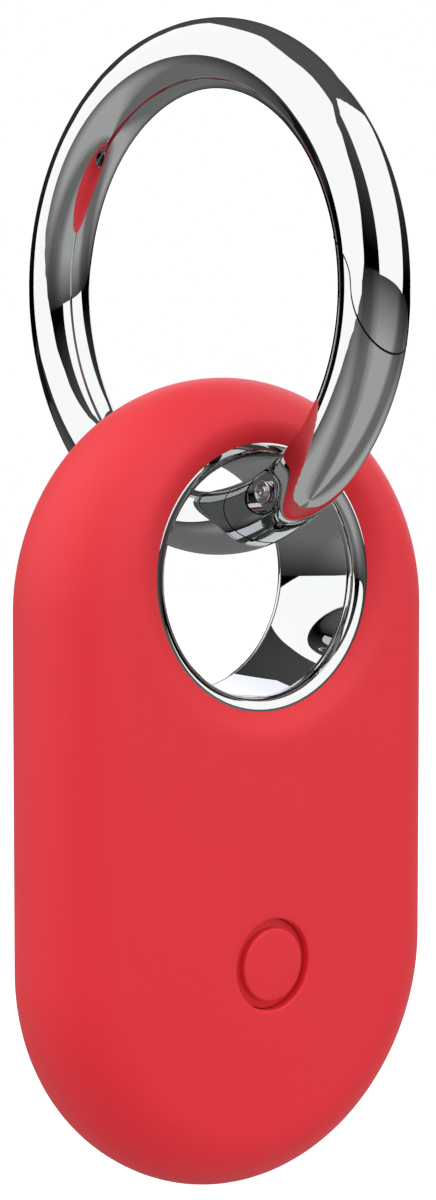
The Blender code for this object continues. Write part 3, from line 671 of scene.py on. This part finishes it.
def rivet(sizes, chrome):
    """Pin turned about the hinge axis: at each end a head with a ring groove, a dome inside it
    and a small dimple in the dome's middle."""
    head, top = sizes.head_radius, sizes.head_top
    seat = sizes.spot_level + 0.02 * MM
    corners = [(0, top - 0.1 * MM), (0.12 * MM, top - 0.06 * MM), (0.2 * MM, top + 0.02 * MM),
               (0.36 * MM, top - 0.02 * MM), (0.44 * MM, top - 0.16 * MM),
               (0.52 * MM, top - 0.16 * MM), (0.6 * MM, top), (head - 0.06 * MM, top - 0.02 * MM),
               (head, top - 0.14 * MM), (head, seat), (sizes.pin_radius, seat),
               (sizes.pin_radius, 0)]
    half = softened(corners, 0.06 * MM, 4)
    profile = np.concatenate((half, (half * (1, -1))[::-1][1:]))
    return surface("pin_rivet", [lathe(profile, PIN_PLACE, PIN_AXES, 72)], [chrome])


# ---------------------------------------------------------------- finishes of the inner pieces

class TAG_OT_finishes(bpy.types.Operator):
    """Makes the shared finishes and gives every piece inside the sleeve its own"""
    bl_idname = "tracker_tag.finishes"
    bl_label = "Finishes"

    def execute(self, context):
        colours = context.scene.tracker_finishes
        chrome_plate(colours.chrome[:])
        # Painted shade: an almost black finish for the faces inside the ring's seams.
        gap_face(linear("1A1B1C"))
        for nodes, made in inner_finishes():
            for node in nodes:
                for slot in frame["nodes"][node].material_slots:
                    slot.material = made
        return {"FINISHED"}


def inner_finishes():
    """Finish of each group of inner pieces, with what it gives the eye."""
    # Spring wire and turned steel: grey metal with fine drawing marks.
    steel = grained("drawn_spring_steel", linear("9A9A98"), 0.28, 1.0, 0.1 * MM, 0.002 * MM, 0.08)
    # Moulded ABS: dark, satin, with the fine spark texture of the mould.
    abs_plastic = grained("spark_textured_abs", linear("484A4E"), 0.45, 0.0, 0.12 * MM,
                          0.004 * MM, 0.08, 0.06)
    # Nitrile rubber ring: dull black.
    nitrile = grained("nitrile_rubber", linear("1E1E20"), 0.7, 0.0, 0.15 * MM, 0.003 * MM, 0.08)
    # Solder mask on glass weave: glossy green with a slight cloudiness.
    mask = grained("green_solder_mask", linear("165434"), 0.32, 0.0, 0.4 * MM, 0.004 * MM, 0.06,
                   0.2)
    # Nickel plated steel can: pale warm metal, softly brushed.
    nickel = grained("nickel_plated_steel", linear("BCBEBE"), 0.24, 1.0, 0.2 * MM, 0.002 * MM, 0.08)
    # Gold flash on phosphor bronze: yellow metal, slightly rough.
    gold = grained("gold_flashed_bronze", linear("D6B05C"), 0.25, 1.0, 0.1 * MM, 0.001 * MM, 0.06)
    # Filled epoxy of a chip package: matt charcoal.
    epoxy = grained("filled_epoxy", linear("242426"), 0.6, 0.0, 0.08 * MM, 0.003 * MM, 0.08)
    # Fired ceramic: off-white, slightly chalky.
    ceramic = grained("fired_ceramic", linear("E2E0D8"), 0.5, 0.0, 0.1 * MM, 0.002 * MM, 0.08, 0.04)
    # Rolled brass of the sounder: yellow metal with a rolled sheen.
    brass = grained("rolled_brass", linear("C4A054"), 0.3, 1.0, 0.25 * MM, 0.002 * MM, 0.08)
    return ((("gate_plunger", "gate_spring", "board_screw_left", "board_screw_right"), steel),
            (("front_shell", "rear_shell", "battery_cover", "button_key"), abs_plastic),
            (("battery_seal",), nitrile),
            (("circuit_board",), mask),
            (("coin_cell", "radio_shield", "crystal"), nickel),
            (("battery_contact_positive", "battery_contact_negative", "sounder_pin_inner",
              "sounder_pin_outer", "antenna_ribbon"), gold),
            (("switch_body", "ranging_chip"), epoxy),
            (("switch_plunger", "piezo_ceramic", "chip_antenna"), ceramic),
            (("piezo_disc",), brass))


# ---------------------------------------------------------------- stage

class TAG_OT_stage(bpy.types.Operator):
    """Sets up the pale floor, the studio round it, the soft lights and the camera"""
    bl_idname = "tracker_tag.stage"
    bl_label = "Stage"

    def execute(self, context):
        sizes = context.scene.tracker_stage
        floor(sizes, context.scene.tracker_finishes.floor[:])
        studio()
        lights()
        camera(sizes)
        context.scene.view_settings.view_transform = "Standard"
        return {"FINISHED"}


def floor(sizes, base):
    """Round pale floor below the hanging tag; the metal mirrors the studio and not the floor."""
    level = CAD_BOX[0][2] - sizes.floor_drop
    radius = np.array((0, 0.2, 0.6, 1.2))
    profile = np.stack((radius, np.zeros(4)), -1)
    axes = (np.array((1, 0, 0)), np.array((0, 1, 0)), np.array((0, 0, 1)))
    paint = grained("matt_floor_paint", base, 0.9, 0.0, 0.5 * MM, 0.003 * MM, 0.05)
    piece = surface("studio_floor", [lathe(profile, np.array((0, 0, level)), axes, 96)], [paint])
    if piece.data.polygons[0].normal.z < 0:
        piece.data.flip_normals()
    piece.visible_glossy = False
    piece.visible_diffuse = False


# Grey strips on the mirrored ground: how light a strip is, and at which azimuths in degrees the
# ground is at that or at its full level, with a soft change in between.
STRIP = 0.38
STRIP_EDGES = ((-140, STRIP), (-122, 1), (-94, 1), (-74, STRIP), (-52, STRIP), (-26, 1), (34, 1),
               (50, STRIP), (78, STRIP), (96, 1), (110, 1), (130, STRIP))


def studio():
    """Studio round the tag. Polished metal sees lit walls, a ground with grey strips and a sky
    that goes from black at the horizon to grey overhead; matt surfaces see a soft dome, and the
    camera plain white.

    Each wall is given by its foot and its top, two rows of directions from the tag: azimuth from
    the front towards the right, then height above the horizon, in degrees.
    """
    white, lavender, black = ((1.69, linear("FFFFFF")), (1.62, linear("F4F4FF")),
                              (0.01, linear("FFFFFF")))
    card("left_wall", *white,
         ((-44, 60), (-58, 44), (-61, 27), (-65, 15), (-70, 5), (-77, -1), (-87, -5), (-100, -6),
          (-118, -4), (-134, -1), (-144, 0), (-151, 8), (-156, 16), (-161, 25), (-168, 38),
          (-178, 52)),
         ((-44, 62), (-48, 66), (-56, 68), (-66, 69), (-75, 70), (-84, 70), (-94, 70), (-104, 71),
          (-120, 72), (-132, 73), (-142, 72), (-150, 68), (-155, 65), (-160, 63), (-168, 60),
          (-178, 56)))
    card("front_wall", *white,
         ((-24, 0.5), (-5, 0.5), (20, 0.5), (52, 0.5), (57, 14), (62, 22), (68, 30), (76, 36),
          (86, 40)),
         ((-32, 57), (-20, 64), (-8, 68), (15, 68), (40, 64), (56, 59), (68, 54), (78, 49),
          (86, 44)))
    card("rear_wall", *lavender,
         ((101, 6), (110, 4), (125, 4), (140, 4), (158, 4)),
         ((101, 50), (110, 47), (125, 43), (140, 40), (158, 36)))
    card("rear_flag", *black, ((-150, -4), (-165, -4), (-190, -4)),
         ((-150, 0), (-165, 0), (-190, 0)))

    world = bpy.data.worlds.new("studio")
    bpy.context.scene.world = world
    world.use_nodes = True
    tree = world.node_tree
    tree.nodes.clear()
    place = add(tree, "ShaderNodeTexCoord").outputs["Generated"]
    way = add(tree, "ShaderNodeSeparateXYZ", {"Vector": place}).outputs
    rise = way["Z"]
    sky = add(tree, "ShaderNodeMapRange", {"Value": rise, "From Min": 0.1, "From Max": 0.95,
                                           "To Min": 0.0, "To Max": 0.13}).outputs["Result"]
    ground = add(tree, "ShaderNodeMapRange", {"Value": rise, "From Min": -0.02, "From Max": -0.40,
                                              "To Min": 0.10, "To Max": 0.60}).outputs["Result"]
    front = add(tree, "ShaderNodeMath", {0: way["Y"], 1: -1.0}, operation="MULTIPLY").outputs[0]
    azimuth = add(tree, "ShaderNodeMath", {0: way["X"], 1: front}, operation="ARCTAN2").outputs[0]
    turn = add(tree, "ShaderNodeMapRange", {"Value": azimuth, "From Min": -math.pi,
                                            "From Max": math.pi}).outputs["Result"]
    strips = add(tree, "ShaderNodeValToRGB", {"Fac": turn})
    stops = strips.color_ramp.elements
    stops[0].color, stops[1].color = (STRIP, STRIP, STRIP, 1), (STRIP, STRIP, STRIP, 1)
    for degrees, level in STRIP_EDGES:
        stops.new((degrees + 180) / 360).color = (level, level, level, 1)
    floored = add(tree, "ShaderNodeMath", {0: ground, 1: strips.outputs["Color"]},
                  operation="MULTIPLY").outputs[0]
    side = add(tree, "ShaderNodeMapRange", {"Value": rise, "From Min": -0.01, "From Max": 0.01})
    mirrored = add(tree, "ShaderNodeMix", {"Factor": side.outputs["Result"], "A": floored,
                                           "B": sky})
    dome = add(tree, "ShaderNodeMath", {0: rise, 1: 0.46, 2: 1.02}, operation="MULTIPLY_ADD")
    light = add(tree, "ShaderNodeLightPath").outputs
    soft = add(tree, "ShaderNodeMix", {"Factor": light["Is Glossy Ray"], "A": dome.outputs[0],
                                       "B": mirrored.outputs["Result"]})
    seen = add(tree, "ShaderNodeMix", {"Factor": light["Is Camera Ray"],
                                       "A": soft.outputs["Result"], "B": 1.0})
    background = add(tree, "ShaderNodeBackground", {"Color": linear("FFFFFF"),
                                                    "Strength": seen.outputs["Result"]})
    add(tree, "ShaderNodeOutputWorld", {"Surface": background.outputs["Background"]})


def card(name, strength, tint, foot, top):
    """One lit card, a metre from the eyelet, that only polished metal sees.

    Each pair of directions is a rib. Directions between the ribs and along each rib lie on straight
    lines in azimuth and height, and the card is put on the sphere about the eyelet.
    """
    between_ribs, along_rib = 12, 33
    ribs = np.stack((foot, top), 1).astype(float)
    at = np.linspace(0, len(ribs) - 1, between_ribs * (len(ribs) - 1) + 1)
    ends = np.stack([np.interp(at, np.arange(len(ribs)), ribs[:, k, j])
                     for k in (0, 1) for j in (0, 1)], -1).reshape(-1, 2, 2)
    share = np.linspace(0, 1, along_rib)[:, None, None]
    azimuth, height = np.moveaxis(np.radians(ends[:, 0] * (1 - share) + ends[:, 1] * share), -1, 0)
    out = np.stack((np.sin(azimuth) * np.cos(height), -np.cos(azimuth) * np.cos(height),
                    np.sin(height)), -1)
    rows, columns = out.shape[:2]
    index = np.arange(rows * columns).reshape(rows, columns)
    quads = np.stack((index[:-1, :-1], index[1:, :-1], index[1:, 1:], index[:-1, 1:]), -1)
    mesh = bpy.data.meshes.new(name)
    mesh.from_pydata((EYELET_CENTRE + out.reshape(-1, 3)).tolist(), [],
                     quads.reshape(-1, 4).tolist())
    glow = bpy.data.materials.new(name + "_glow")
    glow.use_nodes = True
    glow.node_tree.nodes.clear()
    lamp = add(glow.node_tree, "ShaderNodeEmission", {"Color": tint, "Strength": strength})
    add(glow.node_tree, "ShaderNodeOutputMaterial", {"Surface": lamp.outputs["Emission"]})
    mesh.materials.append(glow)
    piece = bpy.data.objects.new(name, mesh)
    bpy.context.scene.collection.objects.link(piece)
    for kind in ("camera", "diffuse", "transmission", "shadow", "volume_scatter"):
        setattr(piece, "visible_" + kind, False)


def lights():
    """Two soft round lights that polished metal doesn't see: a key light high at the front left,
    and a weak fill at the right. Each has a place, a power in watts and a width in metres."""
    for name, place, power, width in (("key_light", (-0.20, -0.14, 0.42), 0.5, 0.35),
                                      ("fill_light", (0.40, -0.22, 0.05), 0.05, 0.3)):
        light = bpy.data.lights.new(name, "AREA")
        light.shape = "DISK"
        light.size = width
        light.energy = power
        lamp = bpy.data.objects.new(name, light)
        bpy.context.scene.collection.objects.link(lamp)
        lamp.location = place
        lamp.visible_glossy = False
        aim(lamp, TAG_MIDDLE)


def aim(thing, target):
    """Turns a light or camera so that it looks from its place to the target."""
    way = Vector(target) - thing.location
    thing.rotation_euler = way.to_track_quat("-Z", "Y").to_euler()


def camera(sizes):
    """Camera at its azimuth and elevation round a point just below the middle of the eyelet."""
    target = EYELET_CENTRE + np.array((-0.65, 0.06, -1.6)) * MM
    out = np.array((math.sin(sizes.azimuth) * math.cos(sizes.height),
                    -math.cos(sizes.azimuth) * math.cos(sizes.height), math.sin(sizes.height)))
    lens = bpy.data.cameras.new("camera")
    lens.lens = sizes.lens
    lens.sensor_width = 36
    lens.clip_start = 0.005
    eye = bpy.data.objects.new("camera", lens)
    bpy.context.scene.collection.objects.link(eye)
    eye.location = target + out * sizes.distance
    aim(eye, target)
    bpy.context.scene.camera = eye


# ---------------------------------------------------------------- add-on

GROUPS = (("tracker_sleeve", SleeveSizes), ("tracker_button", ButtonSizes),
          ("tracker_eyelet", EyeletSizes), ("tracker_ring", RingSizes),
          ("tracker_finishes", Finishes), ("tracker_stage", StageSizes))
OPERATORS = (TAG_OT_finishes, TAG_OT_sleeve, TAG_OT_button, TAG_OT_eyelet, TAG_OT_key_ring,
             TAG_OT_stage)


class TAG_PT_panel(bpy.types.Panel):
    """Lists the operators and their settings"""
    bl_idname = "TAG_PT_panel"
    bl_label = "Tracker tag"
    bl_space_type = "VIEW_3D"
    bl_region_type = "UI"
    bl_category = "Tracker tag"

    def draw(self, context):
        for operator in OPERATORS:
            self.layout.operator(operator.bl_idname)
        for name, group in GROUPS:
            box = self.layout.box()
            for setting in group.__annotations__:
                box.prop(getattr(context.scene, name), setting)


def register():
    for _, group in GROUPS:
        bpy.utils.register_class(group)
    for operator in OPERATORS:
        bpy.utils.register_class(operator)
    bpy.utils.register_class(TAG_PT_panel)
    for name, group in GROUPS:
        setattr(bpy.types.Scene, name, bpy.props.PointerProperty(type=group))


def unregister():
    for name, _ in GROUPS:
        delattr(bpy.types.Scene, name)
    bpy.utils.unregister_class(TAG_PT_panel)
    for operator in reversed(OPERATORS):
        bpy.utils.unregister_class(operator)
    for _, group in reversed(GROUPS):
        bpy.utils.unregister_class(group)


def main():
    """Runs every operator in order."""
    register()
    for operator in OPERATORS:
        group, name = operator.bl_idname.split(".")
        getattr(getattr(bpy.ops, group), name)()


if __name__ == "__main__":
    main()
